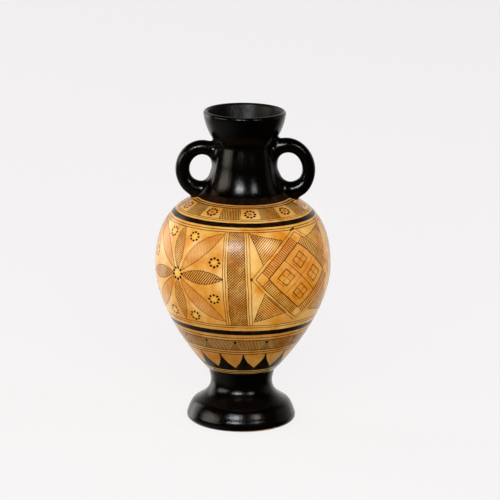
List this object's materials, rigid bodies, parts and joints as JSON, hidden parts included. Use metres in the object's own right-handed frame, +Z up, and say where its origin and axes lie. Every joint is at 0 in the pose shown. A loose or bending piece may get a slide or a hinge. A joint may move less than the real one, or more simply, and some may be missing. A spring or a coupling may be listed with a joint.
{
  "type": "amphora",
  "caption": "Small amphora in painted and glazed clay: egg-shaped hollow body, short neck, cup mouth, ring handles and spreading foot.",
  "frame": {"origin": "centre of the standing ring, on the ground", "axes": "+Z up through the mouth, the two handles along X, the painted front towards -Y"},
  "size_m": [0.1106, 0.1106, 0.2],
  "materials": {
    "glazed_clay": "satin glaze over golden clay painted in black and brown line"
  },
  "bodies": {
    "root": {"amphora": "glazed_clay"}
  },
  "joints": []
}
